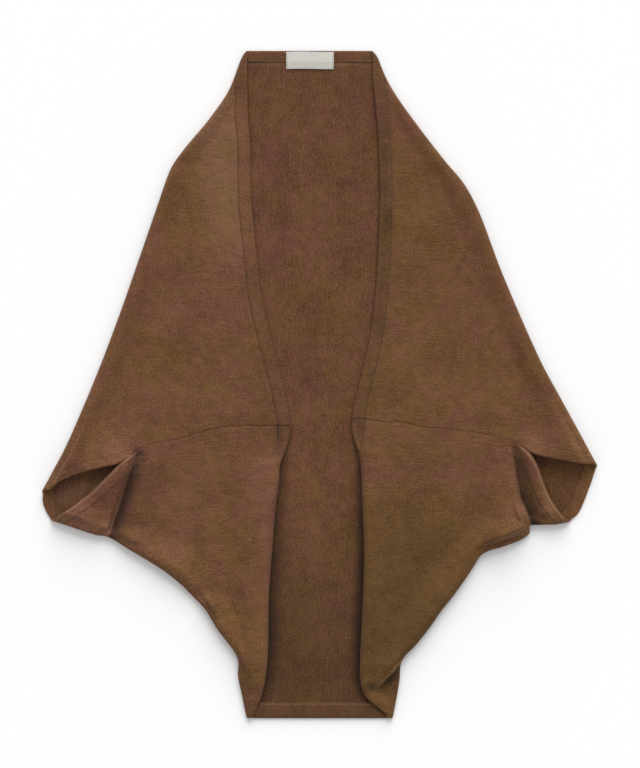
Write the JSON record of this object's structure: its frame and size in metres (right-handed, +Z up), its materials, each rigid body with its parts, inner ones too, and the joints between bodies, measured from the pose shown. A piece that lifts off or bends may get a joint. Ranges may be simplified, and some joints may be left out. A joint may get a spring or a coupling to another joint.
{
  "type": "knit poncho",
  "caption": "Open-front knit poncho laid flat on its back, its fronts folded in from the sides and seamed below short armholes.",
  "frame": {"origin": "centre of the bounding box's bottom face, on the surface the garment lies on", "axes": "+X to the right seen from above, +Y from the bottom hem to the neck, +Z up out of the front"},
  "size_m": [0.6648, 0.8, 0.0203],
  "materials": {
    "knit": "heathered brown fine jersey, outside and turned hems, soft and matt with a short nap",
    "knit_inside": "heathered brown fine jersey, inside, matt",
    "label_cloth": "blank woven satin label, off-white"
  },
  "bodies": {
    "root": {"back_panel": "knit_inside", "left_front_upper": "knit", "left_front_lower": "knit", "right_front_upper": "knit", "right_front_lower": "knit", "left_armhole_hem": "knit", "right_armhole_hem": "knit", "neck_hem": "knit", "bottom_hem": "knit", "label": "label_cloth"}
  },
  "joints": []
}
